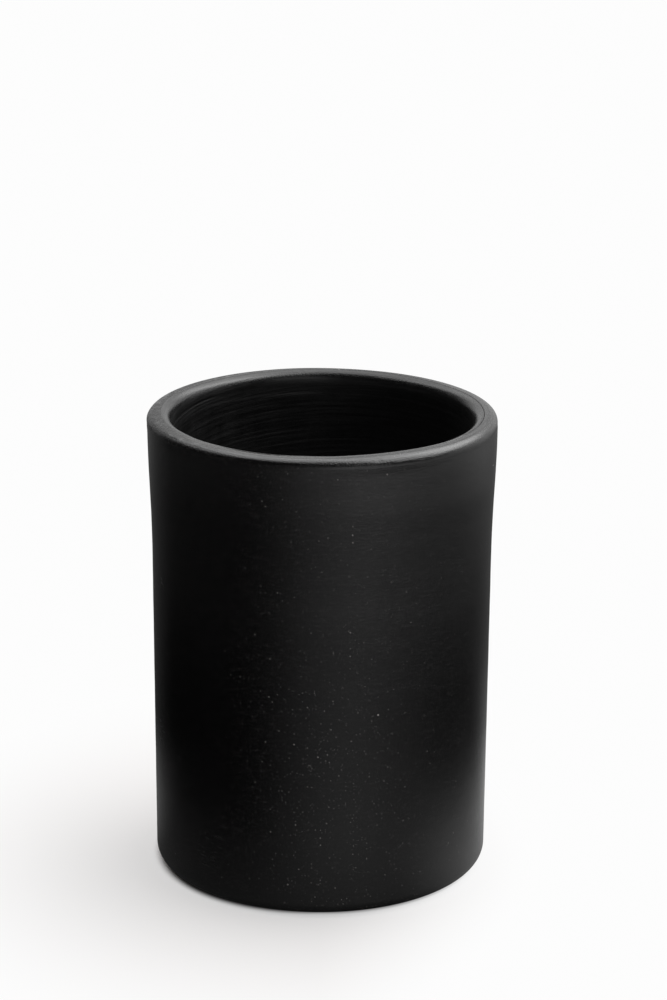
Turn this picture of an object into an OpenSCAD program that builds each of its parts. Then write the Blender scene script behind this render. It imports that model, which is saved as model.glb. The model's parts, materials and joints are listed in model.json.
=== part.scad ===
// Empty round candle jar. A fired stoneware body carries a dark coat outside and a second,
// brushed coat inside. The two coats meet along a ring on top of the rim, and the foot ring
// that the jar stands on is bare clay.
// The origin is the centre of the foot, on the ground, and +Z runs up the jar's axis.

/* [Jar] */
// Outside diameter at the rim
rim_d = 90; // [70:0.5:130]
// Height from the ground to the top of the rim
jar_h = 122; // [80:1:180]
// Thickness of the wall with its coats, just below the lip
wall_t = 5.7; // [5:0.1:9]
// Thickness of the floor with its coat, above the coated underside
floor_t = 8; // [5:0.5:16]

/* [Outline] */
// How far the top flares out beyond the straight wall, on the radius
rim_flare = 0.85; // [0:0.05:2]
// Height over which the top flares out
flare_h = 34; // [15:1:60]
// How far the straight wall leans out from base to rim, on the radius
wall_lean = 0.45; // [0:0.05:1.5]
// Rounding of the rim's outer edge
lip_outer_r = 2.5; // [1:0.1:3]
// Width of the flat land on top of the rim
land_w = 1; // [0.4:0.1:1.5]
// Rounding of the outside edge at the base
base_edge_r = 3.4; // [1:0.1:6]
// Rounding inside, where the wall meets the floor
floor_edge_r = 6; // [2:0.5:15]

/* [Foot] */
// Height of the foot ring below the coated underside
foot_h = 0.4; // [0.2:0.1:3]
// Width of the foot ring
foot_w = 5; // [3:0.5:12]
// Bare clay between the end of the outer coat and the foot ring
foot_inset = 1.2; // [0.4:0.1:4]
// Depth of the hollow inside the foot ring
well_h = 1.6; // [0.8:0.1:4]
// Rounding of the foot ring's edges
foot_edge_r = 0.5; // [0.2:0.1:1]

/* [Coats] */
// Thickness of each coat
coat_t = 0.4; // [0.2:0.05:0.8]

/* [Hidden] */

// Straight steps along each rounded edge and along the flaring wall
arc_steps = 12;
wall_steps = 40;
$fn = 96;

clay_colour = [0.62, 0.53, 0.43];
outer_colour = [0.07, 0.07, 0.075];
inner_colour = [0.1, 0.1, 0.105];

rim_r = rim_d / 2;
bore_r = rim_r - wall_t;
// Height where the rim's outer rounding begins
lip_z = jar_h - lip_outer_r;
// The rim's inner rounding takes what the outer one and the land leave of the wall
lip_inner_r = wall_t - lip_outer_r - land_w;
// Height of the inside floor
floor_z = foot_h + floor_t;
// Height where the base's rounding ends and the wall begins
edge_z = foot_h + base_edge_r;
// Radius where the outer coat ends underneath
coat_end_r = wall_r(edge_z) - base_edge_r;
// The coats meet where the land meets the inner rounding
seam_r = bore_r + lip_inner_r;
foot_r = coat_end_r - foot_inset;
well_r = foot_r - foot_w;
// The hollow has two such roundings, one above the other, and the foot ring two side by side
foot_round = min(foot_edge_r, well_h / 2.2, foot_w / 2.2, foot_h + coat_t);

// Points along an arc about a centre, from one angle to another
function arc(centre, r, from, to) =
    [for (i = [0 : arc_steps])
        let (a = from + (to - from) * i / arc_steps)
        centre + r * [cos(a), sin(a)]];

function reversed(points) = [for (i = [len(points) - 1 : -1 : 0]) points[i]];

// Share of the flare reached at a height: none below it, all at the lip, easing in and out
function flare_share(z) =
    let (u = max(0, min(1, 1 - (lip_z - z) / flare_h)))
    u * u * (3 - 2 * u);

// Outside radius of the wall at a height
function wall_r(z) = rim_r - rim_flare * (1 - flare_share(z)) - wall_lean * (1 - z / lip_z);

// Outside of the jar, from the land down to the end of the coat, at a depth under the surface
function outside(depth) = concat(
    arc([rim_r - lip_outer_r, lip_z], lip_outer_r - depth, 90, 0),
    [for (i = [1 : wall_steps - 1])
        let (z = lip_z + (edge_z - lip_z) * i / wall_steps)
        [wall_r(z) - depth, z]],
    arc([coat_end_r, edge_z], base_edge_r - depth, 0, -90)
);

// Inside of the jar, from the seam down to the middle of the floor, at a depth under the surface
function inside(depth) = concat(
    arc([seam_r, jar_h - lip_inner_r], lip_inner_r - depth, 90, 180),
    arc([bore_r - floor_edge_r, floor_z + floor_edge_r], floor_edge_r + depth, 0, -90),
    [[0, floor_z - depth]]
);

// Bare underside, from the end of the outer coat to the middle of the hollow
function underside() = concat(
    [[foot_r, foot_h + coat_t]],
    arc([foot_r - foot_round, foot_round], foot_round, 0, -90),
    arc([well_r + foot_round, foot_round], foot_round, -90, -180),
    arc([well_r - foot_round, well_h - foot_round], foot_round, 0, 90),
    [[0, well_h]]
);

// Thrown and fired stoneware: wall, floor and foot ring in one piece
module clay_body() {
    color(clay_colour)
    rotate_extrude()
    polygon(concat(reversed(inside(coat_t)), outside(coat_t), underside()));
}

// Satin coat over the land, the outside wall and the rounded edge at the base
module outer_coat() {
    color(outer_colour)
    rotate_extrude()
    polygon(concat(
        [[seam_r, jar_h]],
        outside(0),
        reversed(outside(coat_t)),
        [[seam_r, jar_h - coat_t]]
    ));
}

// Brushed coat over the inner lip, the inside wall and the floor
module inner_coat() {
    color(inner_colour)
    rotate_extrude()
    polygon(concat(inside(0), reversed(inside(coat_t))));
}

clay_body();
outer_coat();
inner_coat();
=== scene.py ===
"""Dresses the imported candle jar: a stoneware body, its two black coats, a pale studio and the camera."""

from __future__ import annotations

import json
import logging
import math
from abc import ABC, abstractmethod
from collections.abc import Callable
from dataclasses import dataclass
from enum import Enum
from typing import Any, ClassVar

import bpy
import numpy as np
from mathutils import Matrix, Vector


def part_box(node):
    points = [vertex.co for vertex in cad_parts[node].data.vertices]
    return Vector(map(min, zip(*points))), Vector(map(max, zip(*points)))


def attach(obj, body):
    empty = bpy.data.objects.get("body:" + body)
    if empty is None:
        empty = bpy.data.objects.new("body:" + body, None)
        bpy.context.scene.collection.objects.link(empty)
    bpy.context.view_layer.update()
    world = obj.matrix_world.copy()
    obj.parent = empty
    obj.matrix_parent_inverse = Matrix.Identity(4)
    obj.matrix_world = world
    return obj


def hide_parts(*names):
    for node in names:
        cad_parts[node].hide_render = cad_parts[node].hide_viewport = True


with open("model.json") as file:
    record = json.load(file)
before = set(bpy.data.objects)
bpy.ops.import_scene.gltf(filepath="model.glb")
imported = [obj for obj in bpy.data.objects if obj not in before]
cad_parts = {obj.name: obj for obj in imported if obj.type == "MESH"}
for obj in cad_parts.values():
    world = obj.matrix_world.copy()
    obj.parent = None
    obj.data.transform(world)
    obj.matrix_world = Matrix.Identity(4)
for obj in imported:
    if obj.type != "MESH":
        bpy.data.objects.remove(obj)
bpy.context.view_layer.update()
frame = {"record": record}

LOG = logging.getLogger("candle_jar")
MM = 0.001
TURN = 2 * math.pi
BODY = "root"
BAKE_MAP = "OFBake"

Array = np.ndarray
Colour = tuple[float, float, float]
Place = tuple[float, float, float]
Span = tuple[float, float]


class Layer(Enum):
    """The jar's layers, each with its CAD node and its material slot in the record."""

    CLAY = ("clay_body", "bare_clay")
    OUTER = ("outer_coat", "outer_black")
    INNER = ("inner_coat", "inner_black")

    @property
    def node(self) -> str:
        """The CAD node's name."""
        return self.value[0]

    @property
    def slot(self) -> str:
        """The material slot's name."""
        return self.value[1]


class Axis(Enum):
    """What a fade follows: to the jar's right, to its back, up, or out from its axis."""

    RIGHT = "X"
    BACK = "Y"
    UP = "Z"
    OUT = "R"


# Patterns and forms that the finishes and the layers are described with

def smooth(value: Array, start: float, end: float) -> Array:
    """A smooth step from 0 at the start to 1 at the end, which may be the smaller of the two."""
    t = np.clip((value - start) / (end - start), 0, 1)
    return t * t * (3 - 2 * t)


def bump_of(value: Array, centre: Array | float, half: float) -> Array:
    """A rounded ridge of height 1 about a centre, gone at half its width."""
    return np.clip(1 - ((value - centre) / half) ** 2, 0, None) ** 2


def total(parts: tuple[Any, ...], *where: Array) -> Array:
    """The sum of some forms at the same places."""
    return sum(part.at(*where) for part in parts)


@dataclass(frozen=True)
class Fade:
    """A smooth change along an axis in millimetres: the first value at the start, the last at the end."""

    axis: Axis
    start: float
    end: float
    first: float = 0.0
    last: float = 1.0


@dataclass(frozen=True)
class Noise:
    """Cloudy noise: its cycles to a millimetre along each axis, its detail and its finer layers' share."""

    scale: Place
    detail: float = 2.0
    roughness: float = 0.5


@dataclass(frozen=True)
class Scatter:
    """Scattered specks: their lattice's cell, the share of cells filled, radii and least strength."""

    cell: float
    share: float | Fade
    radius: Span
    faintest: float


@dataclass(frozen=True)
class Spot:
    """A round mark in millimetres, at an azimuth in degrees: 0 is the jar's right and -90 its front."""

    azimuth: float
    radius: float
    height: float
    size: float
    strength: float = 1.0

    def centre(self) -> Place:
        """The mark's middle."""
        angle = math.radians(self.azimuth)
        return (self.radius * math.cos(angle), self.radius * math.sin(angle), self.height)

    def at(self, r: Array, z: Array, angle: Array) -> Array:
        """The mark as a form: a rounded ridge of the distance from its middle, measured along the arc."""
        turn = (angle - math.radians(self.azimuth) + math.pi) % TURN - math.pi
        away = np.sqrt((turn * self.radius) ** 2 + (r - self.radius) ** 2 + (z - self.height) ** 2)
        return self.strength * bump_of(away, 0.0, self.size)


@dataclass(frozen=True)
class Swell:
    """A height that is full within half of an azimuth and fades over soft, in degrees."""

    height: float
    azimuth: float
    half: float
    soft: float

    def at(self, angle: Array) -> Array:
        """The height: a smooth step of the angle between a point and the swell's azimuth, round the turn."""
        away = np.abs((np.degrees(angle) - self.azimuth + 180) % 360 - 180)
        return self.height * smooth(away, self.half + self.soft, self.half)


@dataclass(frozen=True)
class Oval:
    """A sine of the azimuth, with some turns to the circle and a lead in radians."""

    height: float
    turns: int
    lead: float

    def at(self, angle: Array) -> Array:
        """The height at each azimuth."""
        return self.height * np.sin(self.turns * angle + self.lead)


@dataclass(frozen=True)
class Wave:
    """A sine of a length in millimetres, whose phase leads with the azimuth and sways with a sine of it."""

    height: float
    pitch: float
    lead: float = 0.0
    sway: float = 0.0
    turns: int = 1
    start: float = 0.0

    def at(self, along: Array, angle: Array) -> Array:
        """The height at each length and azimuth."""
        phase = self.lead * angle + self.sway * np.sin(self.turns * angle + self.start)
        return self.height * np.sin(TURN * along / self.pitch + phase)


# Shader values and the node trees that they belong to

def operator(operation: str, swapped: bool = False) -> Callable[[Socket, Any], Socket]:
    """An arithmetic method for shader values, or its reflected form, with the other value on the left."""

    def method(value: Socket, other: Any) -> Socket:
        """Adds one Math node on both values."""
        pair = (other, value) if swapped else (value, other)
        return value.graph.node("ShaderNodeMath", {"operation": operation}, *pair)

    return method


class Socket:
    """A shader value that can be used in Python arithmetic; each operation adds a Math node."""

    __add__, __radd__ = operator("ADD"), operator("ADD", swapped=True)
    __sub__, __rsub__ = operator("SUBTRACT"), operator("SUBTRACT", swapped=True)
    __mul__, __rmul__ = operator("MULTIPLY"), operator("MULTIPLY", swapped=True)
    __truediv__, __rtruediv__ = operator("DIVIDE"), operator("DIVIDE", swapped=True)
    __pow__, __rpow__ = operator("POWER"), operator("POWER", swapped=True)
    # The larger of two values, and 1 where the value is under a limit, else 0
    larger, below = operator("MAXIMUM"), operator("LESS_THAN")

    def __init__(self, graph: Graph, link: bpy.types.NodeSocket | None) -> None:
        """Wraps one output socket of a graph's node, if that has any."""
        self.graph = graph
        self.link = link

    def clamped(self) -> Socket:
        """The value held between 0 and 1."""
        return self.graph.node("ShaderNodeMath", {"operation": "ADD", "use_clamp": True}, self, 0.0)

    def swing(self) -> Socket:
        """How far noise is above its middle, 0.5."""
        return self - 0.5

    def ramp(self, start: Any, end: Any, first: Any = 0.0, last: Any = 1.0) -> Socket:
        """A smooth step from first, where the value is at the start, to last, where it is at the end."""
        return self.graph.node(
            "ShaderNodeMapRange",
            {"interpolation_type": "SMOOTHSTEP"},
            **{"Value": self, "From Min": start, "From Max": end, "To Min": first, "To Max": last},
        )


class Graph:
    """The node tree of one material or world, cleared and ready to be filled."""

    # Share of a speck's radius that is at full strength
    CORE: ClassVar[float] = 0.4
    # Power of a speck's rank that gives its strength, and the least rank, which keeps that finite
    RARITY: ClassVar[float] = -0.6
    LEAST_RANK: ClassVar[float] = 0.001

    def __init__(self, owner: bpy.types.Material | bpy.types.World) -> None:
        """Empties the owner's tree."""
        owner.use_nodes = True
        self.owner = owner
        self.tree = owner.node_tree
        self.tree.nodes.clear()

    def node(
        self, kind: str, settings: dict[str, Any] | None = None, *places: Any, out: Any = 0, **inputs: Any
    ) -> Socket:
        """Adds any node.

        Args:
            kind: the node's type name.
            settings: properties that are set before the sockets.
            places: values or links for the sockets by position; None leaves one as it is.
            out: which output is returned, by index or name.
            inputs: values or links for the sockets by name.

        Returns:
            The chosen output, wrapped.
        """
        made = self.tree.nodes.new(kind)
        for name, value in (settings or {}).items():
            setattr(made, name, value)
        for key, value in {**dict(enumerate(places)), **inputs}.items():
            if isinstance(value, Socket):
                self.tree.links.new(value.link, made.inputs[key])
            elif value is not None:
                made.inputs[key].default_value = value
        return Socket(self, made.outputs[out] if made.outputs else None)

    def vector(self, operation: str, *places: Any, out: str = "Value") -> Socket:
        """Adds one Vector Math node on these places."""
        return self.node("ShaderNodeVectorMath", {"operation": operation}, *places, out=out)

    def mix(self, share: Socket, first: Socket | Colour, second: Socket | Colour) -> Socket:
        """Mixes two colours, from the first at share 0 to the second at share 1."""
        colours = [Vector((*c, 1.0)) if isinstance(c, tuple) else c for c in (first, second)]
        return self.node("ShaderNodeMix", {"data_type": "RGBA"}, share, *[None] * 5, *colours, out=2)

    def blend(self, share: Socket, first: Socket, second: Socket) -> Socket:
        """Mixes two shaders, from the first at share 0 to the second at share 1."""
        return self.node("ShaderNodeMixShader", None, share, first, second)

    def millimetres(self) -> Socket:
        """The place on the piece, in millimetres from the jar's origin."""
        return self.scaled(self.node("ShaderNodeTexCoord", out="Object"), (1 / MM, 1 / MM, 1 / MM))

    def scaled(self, place: Socket, scale: Place) -> Socket:
        """A place with each coordinate multiplied."""
        return self.vector("MULTIPLY", place, scale, out="Vector")

    def along(self, place: Socket, axis: Axis) -> Socket:
        """How far a place lies along one of the axes, or out from the jar's own."""
        if axis is Axis.OUT:
            return self.vector("LENGTH", self.scaled(place, (1.0, 1.0, 0.0)))
        return self.node("ShaderNodeSeparateXYZ", None, place, out=axis.value)

    def zone(self, place: Socket, *fades: Fade) -> Socket:
        """The product of some fades at a place."""
        steps = [self.along(place, f.axis).ramp(f.start, f.end, f.first, f.last) for f in fades]
        return math.prod(steps[1:], start=steps[0])

    def noise(self, place: Socket, noise: Noise) -> Socket:
        """Noise, mostly from 0.3 to 0.7, at a place."""
        inputs = {"Scale": 1.0, "Detail": noise.detail, "Roughness": noise.roughness}
        return self.node("ShaderNodeTexNoise", None, Vector=self.scaled(place, noise.scale), **inputs)

    def flecks(self, place: Socket, scatter: Scatter, zone: Socket | float = 1.0) -> Socket:
        """Round specks, one to a cell of a scattered lattice, most of them small and faint.

        The three parts of a cell's random colour are its draw, against the share, the cube root of its size,
        and its rank, of which a falling power is the strength.

        Args:
            place: the place in millimetres.
            scatter: the lattice and its specks.
            zone: how many of the specks there are at each place, where 1 is all.

        Returns:
            The specks' strength: 0 between them, and inside one from the faintest to 1.
        """
        lattice = {"Vector": place, "Scale": 1 / scatter.cell}
        away = self.node("ShaderNodeTexVoronoi", None, out="Distance", **lattice) * scatter.cell
        colour = self.node("ShaderNodeTexVoronoi", None, out="Color", **lattice)
        draw, spread, rank = (
            self.node("ShaderNodeSeparateColor", None, colour, out=name) for name in ("Red", "Green", "Blue")
        )
        share = self.zone(place, scatter.share) if isinstance(scatter.share, Fade) else scatter.share
        smallest, largest = scatter.radius
        radius = spread * spread * spread * (largest - smallest) + smallest
        strength = (rank.larger(self.LEAST_RANK) ** self.RARITY * scatter.faintest).clamped()
        return away.ramp(radius, radius * self.CORE) * draw.below(share * zone) * strength

    def spotted(self, pattern: Socket, place: Socket, spots: tuple[Spot, ...]) -> Socket:
        """Lays round spots over a pattern.

        Args:
            pattern: the pattern's strength.
            place: the place in millimetres.
            spots: the spots, each at its strength in the middle and gone at its size.

        Returns:
            The larger of the pattern and the spots.
        """
        for spot in spots:
            away = self.vector("DISTANCE", place, spot.centre())
            pattern = pattern.larger(away.ramp(spot.size, spot.size * self.CORE, 0.0, spot.strength))
        return pattern


# Finishes

class Finish(ABC):
    """What the finishes share: a specular level, a bump in millimetres and, on some, a clear glaze."""

    name: ClassVar[str]
    shine: float
    depth: float
    glaze_rough: float | None = None

    @abstractmethod
    def patterns(self, g: Graph, mm: Socket) -> tuple[Socket, Socket, Socket, Socket | None]:
        """What varies over the surface.

        Args:
            g: the material's graph.
            mm: the place in millimetres.

        Returns:
            The colour, the roughness, the bump's height and the weight of a clear glaze, if there is one.
        """

    def material(self) -> bpy.types.Material:
        """Builds the material on Object coordinates in millimetres.

        Returns:
            The material.
        """
        g = Graph(bpy.data.materials.new(self.name))
        colour, rough, height, glaze = self.patterns(g, g.millimetres())
        bump = g.node("ShaderNodeBump", None, Strength=1.0, Distance=self.depth * MM, Height=height)
        inputs = {"Base Color": colour, "Roughness": rough, "Normal": bump, "Specular IOR Level": self.shine}
        inputs.update({"Coat Weight": glaze, "Coat Roughness": self.glaze_rough})
        g.node("ShaderNodeOutputMaterial", None, g.node("ShaderNodeBsdfPrincipled", None, **inputs))
        return g.owner


@dataclass(frozen=True)
class SatinBlack(Finish):
    """The outer coat: black and satin, with fine turning lines, pale flecks, a smudge and small chips."""

    name: ClassVar[str] = "satin_black"

    base: Colour = (0.0015, 0.0015, 0.0016)
    fleck: Colour = (0.42, 0.41, 0.40)
    shine: float = 1.0
    rough: float = 0.23
    glaze: float = 0.5
    glaze_rough: float = 0.2
    depth: float = 0.13

    # Turning lines, fine grain, broad cloudiness, a smudge, and on the rim a mottle and rings
    lines: Noise = Noise((0.35, 0.35, 2.6), 3.0, 0.6)
    grain: Noise = Noise((2.6, 2.6, 3.4), 3.0)
    cloud: Noise = Noise((0.05, 0.05, 0.07), 3.0)
    smudge: Noise = Noise((0.35, 0.35, 0.05))
    mottle: Noise = Noise((0.55, 0.55, 0.55), 4.0, 0.65)
    rings: Noise = Noise((1.8, 0.06, 0.06), 3.0)
    line_levels: Span = (0.5, 0.75)
    smudge_levels: Span = (0.4, 0.65)
    mottle_levels: Span = (0.4, 0.7)
    left_levels: Span = (0.4, 0.6)

    # Flecks are most at the front and again behind, and more towards the base; at the front they thin out to
    # either side where the front light falls off, and they are fainter on the shaded left and stronger on
    # the lit right, which is painted light and shade
    coarse: Scatter = Scatter(0.75, Fade(Axis.UP, 120.0, 20.0, 0.05, 0.18), (0.13, 0.32), 0.08)
    fine: Scatter = Scatter(0.42, Fade(Axis.UP, 120.0, 10.0, 0.04, 0.16), (0.11, 0.18), 0.12)
    flecked_front: tuple[Fade, ...] = (
        Fade(Axis.BACK, -44.0, -31.0, 1.0, 0.15),
        Fade(Axis.RIGHT, -38.0, -8.0, 0.35, 1.0),
        Fade(Axis.RIGHT, 10.0, 30.0, 1.0, 0.5),
    )
    flecked_back: Fade = Fade(Axis.BACK, -25.0, 15.0, 0.0, 0.5)
    # Painted light and shade on the flecks: fainter on the shaded left, stronger on the lit right
    fleck_painted_light: Fade = Fade(Axis.RIGHT, -30.0, 5.0, 0.55, 1.15)
    chips: tuple[Spot, ...] = (
        Spot(-64.0, 43.2, 121.95, 0.3, 0.5),
        Spot(-61.5, 43.6, 121.8, 0.2, 0.5),
        Spot(84.0, 41.8, 121.9, 0.4, 0.5),
        Spot(61.0, 41.9, 121.9, 0.35, 0.5),
    )

    # The rim, its sides, a painted highlight along its inner edge at the front left, and the smudge right of
    # the front's middle
    rim: Fade = Fade(Axis.UP, 119.2, 121.2)
    left: Fade = Fade(Axis.RIGHT, -18.0, -38.0)
    right: Fade = Fade(Axis.RIGHT, 18.0, 38.0)
    rear: Fade = Fade(Axis.BACK, 22.0, 38.0)
    painted_edge_highlight: tuple[Fade, ...] = (
        Fade(Axis.OUT, 43.5, 42.2),
        Fade(Axis.BACK, -15.0, -30.0),
        Fade(Axis.RIGHT, 5.0, -10.0),
    )
    smudged: tuple[Fade, ...] = (
        Fade(Axis.UP, 74.0, 83.0),
        Fade(Axis.UP, 98.0, 90.0),
        Fade(Axis.RIGHT, 9.0, 13.0),
        Fade(Axis.RIGHT, 22.0, 17.0),
        Fade(Axis.BACK, 0.0, -20.0),
    )

    # How much each pattern changes the colour, the roughness, the height and the glaze
    line_tint: float = 0.02
    painted_edge_highlight_tint: float = 0.2
    cloud_rough: float = 0.14
    line_rough: float = 0.1
    mottle_rough: float = 0.35
    ring_rough: float = 0.3
    fleck_rough: float = 0.2
    line_height: float = 0.3
    grain_height: float = 0.35
    rim_grain: float = 0.5
    cloud_glaze: float = 0.3
    ring_glaze: float = 2.0
    right_glaze: float = 0.5
    left_loss: Span = (0.1, 0.8)
    rear_loss: float = 0.45
    smudge_loss: float = 0.4

    def flecks(self, g: Graph, mm: Socket) -> Socket:
        """The strength of the pale flecks and chips at a place in millimetres, with painted light and shade
        on the flecks.
        """
        zone = g.zone(mm, *self.flecked_front) + g.zone(mm, self.flecked_back)
        pale = g.flecks(mm, self.coarse, zone).larger(g.flecks(mm, self.fine, zone))
        return g.spotted((pale * g.zone(mm, self.fleck_painted_light)).clamped(), mm, self.chips)

    def patterns(self, g: Graph, mm: Socket) -> tuple[Socket, Socket, Socket, Socket]:
        """The coat's colour, roughness, height and glaze."""
        round_axis = (g.along(mm, axis) for axis in (Axis.OUT, Axis.RIGHT, Axis.BACK))
        rings = g.noise(g.node("ShaderNodeCombineXYZ", None, *round_axis), self.rings)
        lines, grain, cloud, mottle, smudge = (
            g.noise(mm, noise) for noise in (self.lines, self.grain, self.cloud, self.mottle, self.smudge)
        )
        rim = g.zone(mm, self.rim)
        left, right, rear = (rim * g.zone(mm, side) for side in (self.left, self.right, self.rear))
        smudge = smudge.ramp(*self.smudge_levels) * g.zone(mm, *self.smudged)
        pale = self.flecks(g, mm)

        tint = (lines.ramp(*self.line_levels) + rim * mottle.ramp(*self.mottle_levels)) * self.line_tint
        # A pale line along the rim's inner edge at the front left: a painted highlight
        tint = tint + rim * g.zone(mm, *self.painted_edge_highlight) * self.painted_edge_highlight_tint
        colour = g.mix(pale, g.mix(tint, self.base, self.fleck), self.fleck)
        rough = self.rough + cloud.swing() * self.cloud_rough + lines.swing() * self.line_rough
        rough = rough + rim * (mottle.swing() * self.mottle_rough + rings.swing() * self.ring_rough)
        rough = rough + pale * self.fleck_rough
        height = lines * self.line_height + grain * (rim * self.rim_grain + self.grain_height) + rim * rings
        glaze = self.glaze + cloud.swing() * self.cloud_glaze + rim * rings.swing() * self.ring_glaze
        glaze = glaze + right * self.right_glaze - left * mottle.ramp(*self.left_levels, *self.left_loss)
        glaze = glaze - rear * self.rear_loss - smudge * self.smudge_loss
        return colour, rough, height, glaze.clamped()


@dataclass(frozen=True)
class BrushedBlack(Finish):
    """The inner coat: black, brushed on in slightly tilted rings over the throwing marks."""

    name: ClassVar[str] = "brushed_black"

    base: Colour = (0.002, 0.002, 0.0021)
    streak: Colour = (0.016, 0.016, 0.0162)
    fleck: Colour = (0.3, 0.29, 0.28)
    shine: float = 1.0
    rough: float = 0.44
    glaze: float = 0.25
    glaze_rough: float = 0.24
    depth: float = 0.13

    # The direction that the brushed rings are square to, their strokes, fine grain and cloudiness
    upright: Place = (-0.065, -0.065, 1.0)
    brush: Noise = Noise((0.05, 0.05, 1.7), 4.0, 0.65)
    grain: Noise = Noise((2.6, 2.6, 3.4), 3.0)
    cloud: Noise = Noise((0.35, 0.35, 0.12), 3.0)
    streak_levels: Span = (0.4, 0.66)
    flecks: Scatter = Scatter(1.4, 0.25, (0.1, 0.25), 0.06)
    specks: tuple[Spot, ...] = (Spot(108.0, 39.3, 113.5, 0.4), Spot(80.0, 39.6, 119.0, 0.35))

    # The smoother lip, and its dull edge at the back
    lip: Fade = Fade(Axis.UP, 118.5, 121.5)
    dull: tuple[Fade, ...] = (Fade(Axis.UP, 121.3, 121.8), Fade(Axis.BACK, 12.0, 30.0))

    # How much each pattern changes the colour, the roughness, the height and the glaze
    fleck_tint: float = 0.6
    lip_smooth: float = 0.2
    dull_rough: float = 0.15
    brush_rough: float = 0.25
    cloud_rough: float = 0.2
    brush_height: float = 0.7
    grain_height: float = 0.2
    lip_grain: float = 0.5
    lip_glaze: float = 0.6
    dull_loss: float = 0.9
    cloud_glaze: float = 0.3

    def patterns(self, g: Graph, mm: Socket) -> tuple[Socket, Socket, Socket, Socket]:
        """The coat's colour, roughness, height and glaze, with the brushed rings tilted across the jar."""
        across = (g.along(mm, axis) for axis in (Axis.RIGHT, Axis.BACK))
        level = g.vector("DOT_PRODUCT", mm, self.upright)
        brush = g.noise(g.node("ShaderNodeCombineXYZ", None, *across, level), self.brush)
        grain, cloud = (g.noise(mm, noise) for noise in (self.grain, self.cloud))
        lip, dull = g.zone(mm, self.lip), g.zone(mm, *self.dull)
        pale = g.spotted(g.flecks(mm, self.flecks), mm, self.specks)

        colour = g.mix(brush.ramp(*self.streak_levels), self.base, self.streak)
        colour = g.mix((pale * self.fleck_tint).clamped(), colour, self.fleck)
        rough = self.rough - lip * self.lip_smooth + dull * self.dull_rough
        rough = rough + brush.swing() * self.brush_rough + cloud.swing() * self.cloud_rough
        height = brush * self.brush_height + grain * (lip * self.lip_grain + self.grain_height)
        glaze = self.glaze + lip * self.lip_glaze - dull * self.dull_loss + cloud.swing() * self.cloud_glaze
        return colour, rough, height, glaze.clamped()


@dataclass(frozen=True)
class BareClay(Finish):
    """Fired stoneware: buff and matt, with iron specks and pale grog."""

    name: ClassVar[str] = "bare_clay"

    base: Colour = (0.36, 0.27, 0.19)
    toasted: Colour = (0.29, 0.205, 0.14)
    speck: Colour = (0.05, 0.032, 0.022)
    grog: Colour = (0.55, 0.47, 0.37)
    shine: float = 0.3
    rough: float = 0.85
    depth: float = 0.08

    cloud: Noise = Noise((0.09, 0.09, 0.09), 4.0)
    grain: Noise = Noise((1.8, 1.8, 1.8), 4.0, 0.65)
    iron: Scatter = Scatter(1.7, 0.35, (0.1, 0.35), 0.4)
    sand: Scatter = Scatter(1.1, 0.4, (0.08, 0.25), 0.4)
    toasted_levels: Span = (0.35, 0.7)
    sand_tint: float = 0.5
    sand_height: float = 0.4
    grain_rough: float = 0.15

    def patterns(self, g: Graph, mm: Socket) -> tuple[Socket, Socket, Socket, None]:
        """The clay's colour, roughness and height; it has no glaze."""
        cloud, grain = (g.noise(mm, noise) for noise in (self.cloud, self.grain))
        iron, sand = (g.flecks(mm, scatter) for scatter in (self.iron, self.sand))
        colour = g.mix(cloud.ramp(*self.toasted_levels), self.base, self.toasted)
        colour = g.mix(sand * self.sand_tint, colour, self.grog)
        colour = g.mix(iron, colour, self.speck)
        rough = self.rough + grain.swing() * self.grain_rough
        return colour, rough, grain + sand * self.sand_height, None


# The jar

@dataclass(frozen=True)
class JarSizes:
    """The jar's sizes in metres: those that the frame gives, then those of its edges."""

    rim_r: float
    jar_h: float
    coat_t: float
    foot_h: float
    bore_r: float
    floor_z: float
    seam_r: float
    rim_flare: float = 0.85 * MM
    flare_h: float = 34 * MM
    wall_lean: float = 0.45 * MM
    lip_outer_r: float = 2.5 * MM
    base_edge_r: float = 3.4 * MM
    floor_edge_r: float = 6 * MM
    foot_w: float = 5 * MM
    foot_inset: float = 1.2 * MM
    well_h: float = 1.6 * MM
    foot_edge_r: float = 0.5 * MM

    @classmethod
    def from_frame(cls, record: dict[str, Any]) -> JarSizes:
        """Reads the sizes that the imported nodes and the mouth's bore hold.

        Args:
            record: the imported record.

        Returns:
            The jar's sizes.
        """
        mouth = next(m for m in record["mounts"] if m["name"] == "mouth")
        outer_low, outer_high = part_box(Layer.OUTER.node)
        inner_low, inner_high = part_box(Layer.INNER.node)
        coat_t = outer_high.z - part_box(Layer.CLAY.node)[1].z
        return cls(
            rim_r=outer_high.x,
            jar_h=outer_high.z,
            coat_t=coat_t,
            foot_h=outer_low.z,
            bore_r=mouth["dims"]["r_mm"] * MM,
            floor_z=inner_low.z + coat_t,
            seam_r=inner_high.x,
        )

    @property
    def lip_z(self) -> float:
        """Height where the rim's outer rounding begins."""
        return self.jar_h - self.lip_outer_r

    @property
    def lip_inner_r(self) -> float:
        """Rounding of the rim's inner edge."""
        return self.seam_r - self.bore_r

    @property
    def edge_z(self) -> float:
        """Height where the base's rounding ends and the wall begins."""
        return self.foot_h + self.base_edge_r

    @property
    def coat_end_r(self) -> float:
        """Radius where the outer coat ends underneath."""
        return float(self.wall_r(np.array(self.edge_z))) - self.base_edge_r

    def wall_r(self, z: Array) -> Array:
        """Outside radius at each height: a straight leaning wall, plus a flare that eases in and out."""
        share = smooth(z, self.lip_z - self.flare_h, self.lip_z)
        return self.rim_r - self.rim_flare * (1 - share) - self.wall_lean * (1 - z / self.lip_z)


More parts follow.
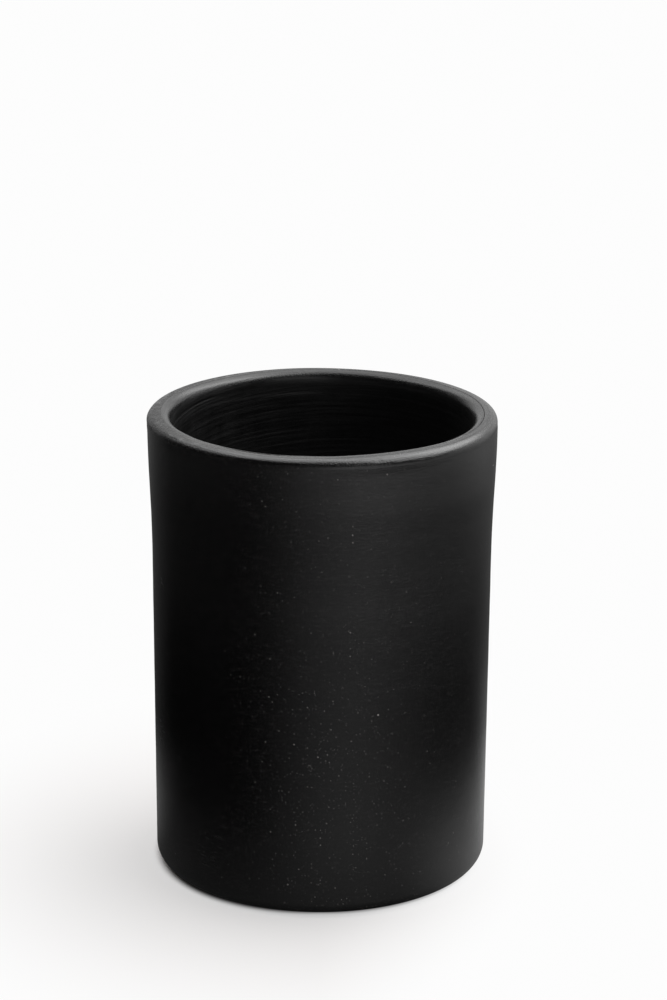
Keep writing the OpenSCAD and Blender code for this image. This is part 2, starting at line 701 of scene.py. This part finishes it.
def arc(centre: Span, radius: float, start: float, end: float, steps: int) -> Array:
    """Points on a circle of that radius about the centre, from one angle in degrees to another."""
    angle = np.radians(np.linspace(start, end, steps + 1))
    return np.stack([centre[0] + radius * np.cos(angle), centre[1] + radius * np.sin(angle)], axis=1)


def line(start: Span, end: Span, steps: int) -> Array:
    """Points at even steps on a straight line, both ends left out."""
    share = np.linspace(0, 1, steps + 1)[1:-1, None]
    return np.array(start) * (1 - share) + np.array(end) * share


@dataclass
class Lathe:
    """A surface of revolution on a grid: an outline of radius and height, carried round the jar's axis."""

    outline: Array
    columns: int
    closed: bool

    def angles(self) -> Array:
        """The azimuth of each column."""
        return np.arange(self.columns) * TURN / self.columns

    def grid(self) -> tuple[Array, Array, Array]:
        """Each row's radius and height in millimetres and each column's azimuth, shaped to be combined."""
        r, z = np.hsplit(self.outline / MM, 2)
        return r, z, self.angles()[None, :]

    def normals(self) -> Array:
        """Unit normals of the outline, to the left of its direction of travel, which is away from the clay.

        Returns:
            One normal for each point, in radius and height.
        """
        if self.closed:
            along = np.roll(self.outline, -1, axis=0) - np.roll(self.outline, 1, axis=0)
        else:
            along = np.gradient(self.outline, axis=0)
        along /= np.linalg.norm(along, axis=1, keepdims=True)
        return np.stack([-along[:, 1], along[:, 0]], axis=1)

    def points(self, relief: Array) -> Array:
        """The grid's points: each outline point moved out along its normal by the relief, then turned.

        Args:
            relief: how far each point of the grid stands proud, rows by columns, in metres.

        Returns:
            Positions, rows by columns by 3.
        """
        normal = self.normals()
        r = self.outline[:, :1] + normal[:, :1] * relief
        z = self.outline[:, 1:] + normal[:, 1:] * relief
        angle = self.angles()
        return np.stack([r * np.cos(angle), r * np.sin(angle), z], axis=2)

    def unrolled(self, weight: Array) -> Array:
        """The bake's map: the turn runs across it, and outline lengths times a weight run up it.

        Args:
            weight: how much of the map each row takes, by its length.

        Returns:
            The map's places for each face's corners, bands by columns by 4 by 2.
        """
        step = np.linalg.norm(np.roll(self.outline, -1, axis=0) - self.outline, axis=1) * weight
        if not self.closed:
            step = step[:-1]
        up = np.concatenate([[0.0], np.cumsum(step)]) / step.sum()
        across = np.arange(self.columns + 1) / self.columns
        u = np.stack([across[:-1], across[1:], across[1:], across[:-1]], axis=1)[None, :, :]
        v = np.stack([up[:-1], up[:-1], up[1:], up[1:]], axis=1)[:, None, :]
        return np.stack(np.broadcast_arrays(u, v), axis=3)

    def mesh(self, name: str, relief: Array, weight: Array) -> bpy.types.Mesh:
        """Builds the closed mesh, four-sided all over and three-sided at a pole.

        Args:
            name: the mesh's name.
            relief: the grid's relief, rows by columns.
            weight: how much of the bake's map each row takes, by its length.

        Returns:
            The mesh, with its faces pointing outwards and a map that follows rows and columns.
        """
        points = self.points(relief)
        index = np.arange(relief.size).reshape(relief.shape)
        if not self.closed:
            poles = [0, -1]
            points[poles, :, :2] = 0.0
            points[poles, :, 2] = points[poles, :, 2].mean(axis=1, keepdims=True)
            index[poles] = index[poles, :1]
        upper = index if self.closed else index[:-1]
        lower = np.roll(index, -1, axis=0) if self.closed else index[1:]
        quads = np.stack([upper, np.roll(upper, -1, axis=1), np.roll(lower, -1, axis=1), lower], axis=2)
        uv = self.unrolled(weight).reshape(-1, 4, 2)
        return self._filled(name, points.reshape(-1, 3), quads.reshape(-1, 4), uv)

    @staticmethod
    def _filled(name: str, places: Array, quads: Array, uv: Array) -> bpy.types.Mesh:
        """Puts points, faces and map into a new mesh, leaving out repeated corners and unused points.

        Args:
            name: the mesh's name.
            places: every grid point.
            quads: four point numbers for each face, of which two are alike at a pole.
            uv: the map's places for the same corners.

        Returns:
            The filled mesh.
        """
        keep = quads != np.roll(quads, 1, axis=1)
        used, corner = np.unique(quads[keep], return_inverse=True)
        sides = keep.sum(axis=1)
        start = np.concatenate([[0], np.cumsum(sides)[:-1]])
        mesh = bpy.data.meshes.new(name)
        mesh.vertices.add(len(used))
        mesh.vertices.foreach_set("co", places[used].astype(np.float32).ravel())
        mesh.loops.add(len(corner))
        mesh.loops.foreach_set("vertex_index", corner.astype(np.int32))
        mesh.polygons.add(len(sides))
        mesh.polygons.foreach_set("loop_start", start.astype(np.int32))
        mesh.polygons.foreach_set("use_smooth", np.ones(len(sides), bool))
        mesh.update(calc_edges=True)
        layer = mesh.uv_layers.new(name=BAKE_MAP)
        layer.uv.foreach_set("vector", uv[keep].astype(np.float32).ravel())
        mesh.validate()
        return mesh


class JarPart(ABC):
    """What the layers share: each is turned on a lathe, dressed in its finish and set in the frame."""

    layer: ClassVar[Layer]
    name: ClassVar[str]
    # How much of the bake's map a hidden row takes, where a shown one takes 1
    hidden: ClassVar[float] = 0.05
    finish: Finish

    @abstractmethod
    def build(self) -> bpy.types.Object:
        """Makes the layer's object."""

    @abstractmethod
    def relief(self, lathe: Lathe) -> Array:
        """How far each point of the lathe's grid stands proud, in metres."""

    def turned(self, lathe: Lathe, shown: Array) -> bpy.types.Object:
        """Carries an outline round the axis, with the layer's relief on the rows that are shown."""
        relief = np.where(shown[:, None], self.relief(lathe), 0.0)
        mesh = lathe.mesh(self.name, relief, np.where(shown, 1.0, self.hidden))
        return bpy.data.objects.new(self.name, mesh)

    def dress(self, piece: bpy.types.Object) -> None:
        """Links a built piece, gives it its finish and lets it stand for its CAD node.

        Args:
            piece: the new object, already where it belongs.
        """
        bpy.context.scene.collection.objects.link(piece)
        piece.data.materials.append(self.finish.material())
        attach(piece, BODY)
        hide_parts(self.layer.node)
        LOG.info("%s stands for %s: %d faces", piece.name, self.layer.node, len(piece.data.polygons))


@dataclass
class OuterCoat(JarPart):
    """The satin coat over the rim's land, the outside wall and the rounded edge at the base."""

    layer: ClassVar[Layer] = Layer.OUTER
    name: ClassVar[str] = "outer_coat_skin"

    sizes: JarSizes
    finish: SatinBlack = SatinBlack()
    columns: int = 420
    land_steps: int = 8
    lip_steps: int = 22
    wall_steps: int = 130
    edge_steps: int = 14
    back_coarse: int = 4

    # Relief in millimetres; spans are heights, depths below the rim or radii over which a form sets in
    waves: tuple[Wave, ...] = (
        Wave(0.008, 17, sway=1),
        Wave(0.005, 9.5, sway=2, start=1),
        Wave(0.002, 4.3, sway=3, start=2),
    )
    wave_heights: Span = (4, 12)
    wave_depths: Span = (3, 12)
    ovals: tuple[Oval, ...] = (Oval(0.05, 2, 0.7), Oval(0.03, 3, 2.1))
    oval_depths: Span = (3, 10)
    front_wave: Oval = Oval(0.17, 4, math.radians(2))
    front: Swell = Swell(1, -95, 45, 25)
    rises: tuple[Swell, ...] = (
        Swell(0.13, 140, 35, 30),
        Swell(0.1, 195, 12, 14),
        Swell(0.04, -113, 16, 14),
    )
    rise_depths: Span = (5, 1)
    crown_levels: Span = (0.175, -0.075)
    crown_radii: Span = (39.5, 44.2)
    crown_turns: tuple[Swell, ...] = (Swell(-1.4, -88, 60, 25), Swell(1.1, -113, 14, 14))
    crown_depth: float = 3
    corner: float = 0.18
    corner_radii: Span = (42.3, 44)
    corner_depth: float = 1
    corner_half: float = 1.6
    corner_cuts: tuple[Swell, ...] = (
        Swell(-1, -72, 16, 14),
        Swell(-0.6, -35, 14, 12),
        Swell(-0.6, -148, 14, 12),
    )
    seam: float = 0.16
    seam_half: float = 0.3
    seam_least: float = 0.12
    seam_reach: Swell = Swell(0.88, 66, 90, 14)
    seam_depth: float = 0.5
    nicks: tuple[Spot, ...] = (
        Spot(-72, 44.3, 121.2, 0.6, -0.12),
        Spot(-150, 43.4, 121.8, 1.4, -0.05),
        Spot(-158, 44, 121.5, 1.3, -0.04),
    )

    def skin(self, depth: float, coarse: int = 1) -> Array:
        """Outline from the land down to the coat's end: the lip's arc, the wall and the base's arc.

        Args:
            depth: how far under the surface, in metres.
            coarse: what the number of steps is divided by.

        Returns:
            Points of radius and height.
        """
        s = self.sizes
        heights = np.linspace(s.lip_z, s.edge_z, self.wall_steps // coarse + 1)[1:-1]
        return np.vstack([
            arc((s.rim_r - s.lip_outer_r, s.lip_z), s.lip_outer_r - depth, 90, 0, self.lip_steps // coarse),
            np.stack([s.wall_r(heights) - depth, heights], axis=1),
            arc((s.coat_end_r, s.edge_z), s.base_edge_r - depth, 0, -90, self.edge_steps // coarse),
        ])

    def build(self) -> bpy.types.Object:
        """Carries the coat's closed outline round the axis; its land has closer points towards the seam.

        Returns:
            The coat.
        """
        s = self.sizes
        step = np.linspace(0, 1, self.land_steps + 1)[:-1, None] ** 2
        land = (1 - step) * (s.seam_r, s.jar_h) + step * (s.rim_r - s.lip_outer_r, s.jar_h)
        face = np.vstack([land, self.skin(0.0)])
        back = np.vstack([self.skin(s.coat_t, self.back_coarse)[::-1], [(s.seam_r, s.jar_h - s.coat_t)]])
        lathe = Lathe(np.vstack([face, back]), self.columns, closed=True)
        return self.turned(lathe, np.arange(len(lathe.outline)) < len(face))

    def relief(self, lathe: Lathe) -> Array:
        """How far each point stands proud: slow waves down the wall, an uneven rim, a seam and a few nicks.

        The waves are sines of height whose phase drifts round the turn, and the wall is a little oval. The
        rim rises and falls with the azimuth, its top is crowned, and its outer corner is filled by a rounded
        ridge of the depth below it. Each nick is a rounded dent about one point.

        Args:
            lathe: the coat's outline and columns.

        Returns:
            The relief in metres, rows by columns.
        """
        r, z, angle = lathe.grid()
        down = self.sizes.jar_h / MM - z
        waves = total(self.waves, z, angle) * smooth(z, *self.wave_heights) * smooth(down, *self.wave_depths)
        oval = total(self.ovals, angle) * smooth(down, *self.oval_depths)
        rim = self.rise(angle) * smooth(down, *self.rise_depths)
        rim = rim + self.crown(r, angle) * (down < self.crown_depth)
        corner = smooth(r, *self.corner_radii) * bump_of(down, self.corner_depth, self.corner_half)
        corner = self.corner * corner * (1 + total(self.corner_cuts, angle))
        nicks = total(self.nicks, r, z, angle)
        return (waves + oval + rim + corner + nicks - self.groove(r, down, angle)) * MM

    def rise(self, angle: Array) -> Array:
        """How much higher the rim stands: it dips and rises along the front, and swells behind."""
        return self.front_wave.at(angle) * self.front.at(angle) + total(self.rises, angle)

    def crown(self, r: Array, angle: Array) -> Array:
        """How much the rim's top falls outwards, by a smooth step of the radius; in front it rises."""
        first, last = self.crown_levels
        return (first + (last - first) * smooth(r, *self.crown_radii)) * (1 + total(self.crown_turns, angle))

    def groove(self, r: Array, down: Array, angle: Array) -> Array:
        """Depth of the seam: a rounded groove at the land's inner edge, deepest at the right and behind."""
        depth = self.seam * (self.seam_least + self.seam_reach.at(angle))
        return depth * bump_of(r, self.sizes.seam_r / MM, self.seam_half) * (down < self.seam_depth)


@dataclass
class InnerCoat(JarPart):
    """The brushed coat over the inner lip, the inside wall and the floor."""

    layer: ClassVar[Layer] = Layer.INNER
    name: ClassVar[str] = "inner_coat_skin"

    sizes: JarSizes
    outer: OuterCoat
    finish: BrushedBlack = BrushedBlack()
    columns: int = 320
    lip_steps: int = 20
    fine_steps: int = 100
    wall_steps: int = 76
    edge_steps: int = 12
    floor_steps: int = 40
    back_coarse: int = 5
    fine_h: float = 30 * MM

    # Relief in millimetres; spans are depths below the rim, heights above the floor or radii
    tilt: float = 3.6
    tilt_azimuth: float = 45
    tilt_depths: Span = (6, 14)
    rings: tuple[Wave, ...] = (Wave(0.014, 3.1), Wave(0.012, 1.7, sway=2), Wave(0.01, 1.13, sway=1, turns=2))
    ring_depths: Span = (6, 9)
    ring_least: float = 0.7
    ring_swell: Wave = Wave(0.3, 11, lead=1)
    broad: Wave = Wave(0.06, 8.3, lead=1)
    broad_depths: Span = (24, 40)
    wall_heights: Span = (2, 8)
    spiral: Wave = Wave(0.035, 5.2, lead=1)
    spiral_sway: float = 1.5
    spiral_length: float = 6
    streaks: Wave = Wave(0.015, 2.3, sway=2)
    streak_length: float = 9
    spiral_radii: Span = (1, 5)
    floor_heights: Span = (3, 0.5)
    ridge_least: float = 0.014
    ridge: Swell = Swell(0.084, 117, 16, 18)
    ridge_top: Span = (5.6, 6.2)
    ridge_foot: Span = (12, 6.4)
    crease: Swell = Swell(-0.16, 158, 14, 12)
    crease_half: float = 0.35
    crease_depth: float = 3.5
    crease_climb: float = 1.75
    crease_azimuths: Span = (132, 178)
    lean: float = 0.27
    lean_ovals: tuple[Oval, ...] = (Oval(0.14, 1, math.pi / 2 - 1), Oval(0.05, 4, 1.5 * math.pi))
    lean_swells: tuple[Swell, ...] = (Swell(0.4, 188, 5, 45), Swell(0.2, -3, 10, 30))
    lean_top: Span = (0.2, 3.4)
    lean_foot: Span = (22, 3.8)
    rise_depths: Span = (2.2, 0.3)

    def skin(self, depth: float, coarse: int = 1) -> Array:
        """Outline from the middle of the floor up to the seam, with finer steps along the top of the wall.

        Args:
            depth: how far under the surface, in metres.
            coarse: what the number of steps is divided by.

        Returns:
            Points of radius and height.
        """
        s = self.sizes
        edge_at = (s.bore_r - s.floor_edge_r, s.floor_z + s.floor_edge_r)
        lip_at = (s.seam_r, s.jar_h - s.lip_inner_r)
        low, wall_r = s.floor_z - depth, s.bore_r + depth
        change = (wall_r, lip_at[1] - self.fine_h)
        return np.vstack([
            [(0.0, low)],
            line((0.0, low), (edge_at[0], low), self.floor_steps // coarse),
            arc(edge_at, s.floor_edge_r + depth, -90, 0, self.edge_steps // coarse),
            line((wall_r, edge_at[1]), change, self.wall_steps // coarse),
            [change],
            line(change, (wall_r, lip_at[1]), self.fine_steps // coarse),
            arc(lip_at, s.lip_inner_r - depth, 180, 90, self.lip_steps // coarse),
        ])

    def build(self) -> bpy.types.Object:
        """Carries the coat's outline from pole to pole round the axis."""
        face = self.skin(0.0)
        outline = np.vstack([face, self.skin(self.sizes.coat_t, self.back_coarse)[::-1]])
        return self.turned(Lathe(outline, self.columns, closed=False), np.arange(len(outline)) < len(face))

    def relief(self, lathe: Lathe) -> Array:
        """How far each point stands proud of the inside: the wall's rings, the floor's spiral, lip and seam.

        Args:
            lathe: the coat's outline and columns.

        Returns:
            The relief in metres, rows by columns; positive is into the hollow.
        """
        r, z, angle = lathe.grid()
        down = self.sizes.jar_h / MM - z
        above = z - self.sizes.floor_z / MM
        wall = self.throwing_rings(down, angle) * smooth(above, *self.wall_heights)
        floor = self.floor_spiral(r, angle) * smooth(above, *self.floor_heights)
        lip = self.uneven_lip(down, angle) + self.ridge_and_crease(down, angle)
        return (wall + floor + lip - self.outer.groove(r, down, angle)) * MM

    def throwing_rings(self, down: Array, angle: Array) -> Array:
        """The wall's rings: sines of a depth below the rim that is tilted across the jar.

        Args:
            down: depths below the rim in millimetres.
            angle: azimuths in radians.

        Returns:
            The rings' height in millimetres.
        """
        across = np.cos(angle - math.radians(self.tilt_azimuth))
        deep = down + self.tilt * across * smooth(down, *self.tilt_depths)
        rings = total(self.rings, deep, angle) * (self.ring_least + self.ring_swell.at(deep, angle))
        broad = self.broad.at(deep, angle) * smooth(down, *self.broad_depths)
        return rings * smooth(down, *self.ring_depths) + broad

    def floor_spiral(self, r: Array, angle: Array) -> Array:
        """The floor's loose spiral: sines of the radius plus the azimuth, each swaying with the radius."""
        spiral = self.spiral.at(r, angle + self.spiral_sway * np.sin(r / self.spiral_length))
        return (spiral + self.streaks.at(r, angle + r / self.streak_length)) * smooth(r, *self.spiral_radii)

    def ridge_and_crease(self, down: Array, angle: Array) -> Array:
        """A ridge, a smooth step about 6 mm down, and a crease, a groove that climbs along the left.

        Args:
            down: depths below the rim in millimetres.
            angle: azimuths in radians.

        Returns:
            Their height in millimetres.
        """
        ridge = smooth(down, *self.ridge_top) * smooth(down, *self.ridge_foot)
        middle = self.crease_depth + self.crease_climb * smooth(np.degrees(angle), *self.crease_azimuths)
        crease = self.crease.at(angle) * bump_of(down, middle, self.crease_half)
        return ridge * (self.ridge_least + self.ridge.at(angle)) + crease

    def uneven_lip(self, down: Array, angle: Array) -> Array:
        """How much the lip leans in, most at the left and the right, and follows the rim's rise at the seam.

        Args:
            down: depths below the rim in millimetres.
            angle: azimuths in radians.

        Returns:
            The lip's height in millimetres; the lean is gone 22 mm down and at the seam.
        """
        lean = self.lean + total(self.lean_ovals, angle) + total(self.lean_swells, angle)
        top = self.outer.rise(angle) + self.outer.crown(np.array(self.sizes.seam_r / MM), angle)
        lean = lean * smooth(down, *self.lean_top) * smooth(down, *self.lean_foot)
        return lean + top * smooth(down, *self.rise_depths)


@dataclass
class ClayBody(JarPart):
    """The thrown and fired stoneware, of which only the foot shows."""

    layer: ClassVar[Layer] = Layer.CLAY
    name: ClassVar[str] = "clay_foot"
    hidden: ClassVar[float] = 0.02

    sizes: JarSizes
    outer: OuterCoat
    inner: InnerCoat
    finish: BareClay = BareClay()
    columns: int = 240
    coarse: int = 2
    inset_steps: int = 4
    round_steps: int = 6
    ring_steps: int = 10
    well_steps: int = 60

    # Turning marks in millimetres, and the radii between which they set in and end
    marks: tuple[Wave, ...] = (Wave(0.05, 2.4, lead=1), Wave(0.03, 7.5, lead=-1))
    mark_radii: Span = (1, 6)
    mark_ends: Span = (33, 30)

    def underside(self) -> Array:
        """Outline from the end of the outer coat over the foot ring to the middle of the hollow.

        Returns:
            Points of radius and height.
        """
        s = self.sizes
        foot_r = s.coat_end_r - s.foot_inset
        well_r = foot_r - s.foot_w
        low, e = s.foot_h + s.coat_t, s.foot_edge_r
        return np.vstack([
            line((s.coat_end_r, low), (foot_r, low), self.inset_steps),
            [(foot_r, low)],
            arc((foot_r - e, e), e, 0, -90, self.round_steps),
            line((foot_r - e, 0), (well_r + e, 0), self.ring_steps),
            arc((well_r + e, e), e, -90, -180, self.round_steps),
            arc((well_r - e, s.well_h - e), e, 0, 90, self.round_steps),
            line((well_r - e, s.well_h), (0, s.well_h), self.well_steps),
            [(0, s.well_h)],
        ])

    def build(self) -> bpy.types.Object:
        """Carries the outline of both coats' backs and the underside round the axis, from pole to pole.

        Returns:
            The body.
        """
        depth = self.sizes.coat_t
        backs = np.vstack([self.inner.skin(depth, self.coarse), self.outer.skin(depth, self.coarse)])
        outline = np.vstack([backs, self.underside()])
        return self.turned(Lathe(outline, self.columns, closed=False), np.arange(len(outline)) >= len(backs))

    def relief(self, lathe: Lathe) -> Array:
        """Turning marks in the hollow: spirals, sines of the radius plus the azimuth, gone at the middle."""
        r, _, angle = lathe.grid()
        return total(self.marks, r, angle) * smooth(r, *self.mark_radii) * smooth(r, *self.mark_ends) * MM


# The camera and the studio

@dataclass(frozen=True)
class Viewpoint:
    """The photograph's camera: where it stands and how it is turned, from a fit to the jar's outline."""

    place: Place = (0.0, -0.721247, 0.323803)
    down: float = 17.3806
    aside: float = 0.2352
    roll: float = 0.3828
    lens: float = 105.012
    sensor: float = 36.0

    def build(self) -> None:
        """Makes the camera and sets it as the scene's own."""
        data = bpy.data.cameras.new("camera")
        data.lens = self.lens
        data.sensor_width = self.sensor
        camera = bpy.data.objects.new("camera", data)
        bpy.context.scene.collection.objects.link(camera)
        turns = ((-self.aside, "Z"), (90.0 - self.down, "X"), (self.roll, "Z"))
        aside, down, roll = (Matrix.Rotation(math.radians(angle), 4, axis) for angle, axis in turns)
        camera.matrix_world = Matrix.Translation(self.place) @ aside @ down @ roll
        bpy.context.scene.camera = camera


@dataclass(frozen=True)
class Patch:
    """A patch of painted reflection, a glow that the coats mirror in the floor; distances from the jar's
    axis, in metres.
    """

    levels: Span
    distances: Span = (0.0, 1.0)
    axis: Span | None = None
    spread: Span = (0.0, 1.0)
    power: float | None = None
    clear: Span | None = None

    # The least distance, which keeps the direction of a point finite
    NEAREST: ClassVar[float] = 0.01

    def glow(self, g: Graph, at: Socket) -> Socket:
        """The patch's light: a smooth step of the distance, from one level to the other.

        With an axis it is multiplied by a smooth step or a power of the cosine between that and the point's
        direction, and with a clear span it sets in over those distances, leaving a painted shade round the
        foot.

        Args:
            g: the floor's graph.
            at: the point on the floor.

        Returns:
            The light, where 1 is white.
        """
        away = g.vector("LENGTH", at)
        light = away.ramp(*self.distances, *self.levels)
        if self.axis is not None:
            cosine = g.vector("DOT_PRODUCT", at, (*self.axis, 0.0)) / away.larger(self.NEAREST)
            facing = cosine.ramp(*self.spread) if self.power is None else cosine.larger(0.0) ** self.power
            light = light * facing
        if self.clear is not None:
            light = light * away.ramp(*self.clear)
        return light


@dataclass(frozen=True)
class Light:
    """A large soft light in the dome: the way to it, its level, and the cosines between which it grows."""

    axis: Place
    level: float
    spread: Span

    def glow(self, g: Graph, at: Socket) -> Socket:
        """The light in each direction: a smooth step of the cosine between that and the light's axis."""
        cosine = g.vector("DOT_PRODUCT", at, Vector(self.axis).normalized())
        return cosine.ramp(*self.spread, 0.0, self.level)


@dataclass(frozen=True)
class Studio:
    """A wide pale floor that shows the coats a painted reflection, a dim dome with large soft lights above,
    at the right and behind, and a softbox.
    """

    floor_r: float = 6.0
    rings: int = 40
    sides: int = 96
    floor_colour: Colour = (0.95, 0.9, 0.88)
    white: float = 0.98

    # The share of plain white that the camera sees: it grows with distance, faster on the right, with a
    # little more close to the foot, and sets in a little further out at the sides, most so on the left
    whitening: Span = (0.035, 0.125)
    least_white: float = 0.5
    right_gain: float = 1.2
    edge_white: float = 0.05
    edge_distances: Span = (0.042, 0.048)
    shade_distances: Span = (0.039, 0.042)
    shade_lean: float = 0.03
    shade_wide: float = 0.04

    # Painted reflections, a glow that the coats mirror in the floor: beside and behind the jar, further out
    # to the right and the back, and in front; those near the foot set in only past it, a painted shade
    patches: tuple[Patch, ...] = (
        Patch((0.235, 0.0), (0.045, 0.125), axis=(0.927, 0.375), spread=(0.1, 0.9), clear=(0.039, 0.047)),
        Patch((0.042, 0.0), (0.045, 0.125), clear=(0.039, 0.047)),
        Patch((0.1, 0.0), (0.05, 0.13), axis=(0.0, 1.0), spread=(-0.1, 0.6), clear=(0.039, 0.047)),
        Patch((0.002, 0.012), (0.15, 0.3)),
        Patch((0.0, 0.025), (0.29, 0.4)),
        Patch((0.0, 0.26), (0.29, 0.4), axis=(0.97, -0.26), spread=(0.3, 0.9)),
        Patch((0.026, 0.026), axis=(1.0, 0.0), spread=(0.6, 1.0)),
        Patch((0.04, 0.04), axis=(0.0, 1.0), spread=(0.3, 1.0)),
        Patch((0.17, 0.035), (0.08, 0.2), axis=(0.3, 0.95), spread=(0.6, 1.0)),
        Patch((0.0, 0.22), (0.3, 0.8), axis=(0.3, 0.95), spread=(0.4, 1.0)),
        Patch((0.035, 0.12), (0.05, 0.1), axis=(0.3, -0.954), power=4.2, clear=(0.041, 0.052)),
        Patch((0.035, -0.012), (0.12, 0.24), axis=(0.3, -0.954), power=4.2, clear=(0.041, 0.052)),
        Patch((0.0, 0.14), (0.29, 0.4), axis=(0.3, -0.954), power=4.2, clear=(0.041, 0.052)),
    )

    # The dome; the side light fades towards the horizon, and the back light grows a little there
    dim: float = 0.02
    overhead: Light = Light((-0.22, 0.38, 0.9), 1.35, (0.75, 0.97))
    side: Light = Light((0.61, 0.19, 0.77), 2.25, (0.64, 0.96))
    side_heights: Span = (0.2, 0.68)
    back: Light = Light((0.4, 0.85, 0.2), 0.4, (0.1, 0.75))
    back_heights: Span = (0.0, 0.3)
    back_gain: Span = (1.25, 1.0)

    # The softbox: its middle, width and height, how bright its face is, where 1 is white, and what it faces
    box_place: Place = (0.3, -1.05, 0.29)
    box_size: Span = (0.8, 0.5)
    box_radiance: float = 0.32
    box_aim: Place = (0.0, 0.0, 0.06)

    def build_floor(self) -> None:
        """Makes the floor, a flat disc at the jar's foot: rings of points about the middle, evenly wider."""
        radius = np.linspace(self.floor_r / self.rings, self.floor_r, self.rings)[:, None]
        angle = np.arange(self.sides) * TURN / self.sides
        grid = np.stack([radius * np.cos(angle), radius * np.sin(angle), 0 * radius * angle], axis=2)
        points = np.vstack([[(0.0, 0.0, 0.0)], grid.reshape(-1, 3)])
        index = 1 + np.arange(self.rings * self.sides).reshape(self.rings, self.sides)
        around = np.roll(index, -1, axis=1)
        quads = np.stack([index[:-1], index[1:], around[1:], around[:-1]], axis=2).reshape(-1, 4)
        fan = np.stack([0 * index[0], index[0], around[0]], axis=1)
        mesh = bpy.data.meshes.new("floor")
        mesh.from_pydata(points.tolist(), [], fan.tolist() + quads.tolist())
        mesh.update()
        mesh.materials.append(self.floor_material())
        floor = bpy.data.objects.new("floor", mesh)
        bpy.context.scene.collection.objects.link(floor)

    def whiteness(self, g: Graph, at: Socket) -> Socket:
        """The share of plain white that the camera sees: smooth steps of a point's distance and of its x.

        Args:
            g: the floor's graph.
            at: the point on the floor.

        Returns:
            The share.
        """
        x, away = g.along(at, Axis.RIGHT), g.vector("LENGTH", at)
        share = (away + x.larger(0.0) * self.right_gain).ramp(*self.whitening, self.least_white, 1.0)
        share = share + away.ramp(*self.edge_distances, self.edge_white, 0.0)
        edge = away + x * self.shade_lean - x.larger(x * -1.0) * self.shade_wide
        return share * edge.ramp(*self.shade_distances)

    def floor_material(self) -> bpy.types.Material:
        """A pale matt sheet that the camera sees turn to white with distance; mirror rays see the patches, a
        painted reflection that glows in its place.

        Returns:
            The material.
        """
        g = Graph(bpy.data.materials.new("pale_floor"))
        at = g.node("ShaderNodeNewGeometry", out="Position")
        seen = g.node("ShaderNodeLightPath", out="Is Camera Ray")
        mirrored = g.node("ShaderNodeLightPath", out="Is Glossy Ray")
        sheet = g.node("ShaderNodeBsdfDiffuse", None, Color=(*self.floor_colour, 1.0))
        white = g.node("ShaderNodeEmission", None, Color=(self.white, self.white, self.white, 1.0))
        shown = g.blend(self.whiteness(g, at) * seen, sheet, white)
        dark, lit = (g.node("ShaderNodeEmission", None, Strength=level) for level in (0.0, 1.0))
        # The coats' mirror rays see a painted reflection: an emitted glow in place of the lit sheet, dark
        # near the foot as painted shade
        mirror = g.blend(sum(patch.glow(g, at) for patch in self.patches), dark, lit)
        g.node("ShaderNodeOutputMaterial", None, g.blend(mirrored, shown, mirror))
        return g.owner

    def build_world(self) -> None:
        """Makes the dome: dim, plus the larger of the overhead and side lights, plus the back light."""
        g = Graph(bpy.data.worlds.new("studio"))
        bpy.context.scene.world = g.owner
        at = g.node("ShaderNodeTexCoord", out="Generated")
        up = g.along(at, Axis.UP)
        side = self.side.glow(g, at) * up.ramp(*self.side_heights)
        back = self.back.glow(g, at) * up.ramp(*self.back_heights, *self.back_gain)
        level = self.overhead.glow(g, at).larger(side) + back + self.dim
        shader = g.node("ShaderNodeBackground", None, Color=(1.0, 1.0, 1.0, 1.0), Strength=level)
        g.node("ShaderNodeOutputWorld", None, shader)

    def build_softbox(self) -> None:
        """Makes a low weak softbox at the front, which faces the jar."""
        width, height = self.box_size
        data = bpy.data.lights.new("front_softbox", "AREA")
        data.shape = "RECTANGLE"
        data.size = width
        data.size_y = height
        data.energy = math.pi * self.box_radiance * width * height
        softbox = bpy.data.objects.new("front_softbox", data)
        softbox.location = self.box_place
        ahead = Vector(self.box_aim) - Vector(self.box_place)
        softbox.rotation_euler = ahead.to_track_quat("-Z", "Y").to_euler()
        bpy.context.scene.collection.objects.link(softbox)


def main() -> None:
    """Builds the camera, the jar and the studio in order."""
    logging.basicConfig(level=logging.INFO, format="%(name)s: %(message)s")
    bpy.context.scene.view_settings.view_transform = "Standard"
    Viewpoint().build()
    sizes = JarSizes.from_frame(frame["record"])
    outer = OuterCoat(sizes)
    inner = InnerCoat(sizes, outer)
    for part in (outer, inner, ClayBody(sizes, outer, inner)):
        part.dress(part.build())
    studio = Studio()
    studio.build_floor()
    studio.build_world()
    studio.build_softbox()


if __name__ == "__main__":
    main()
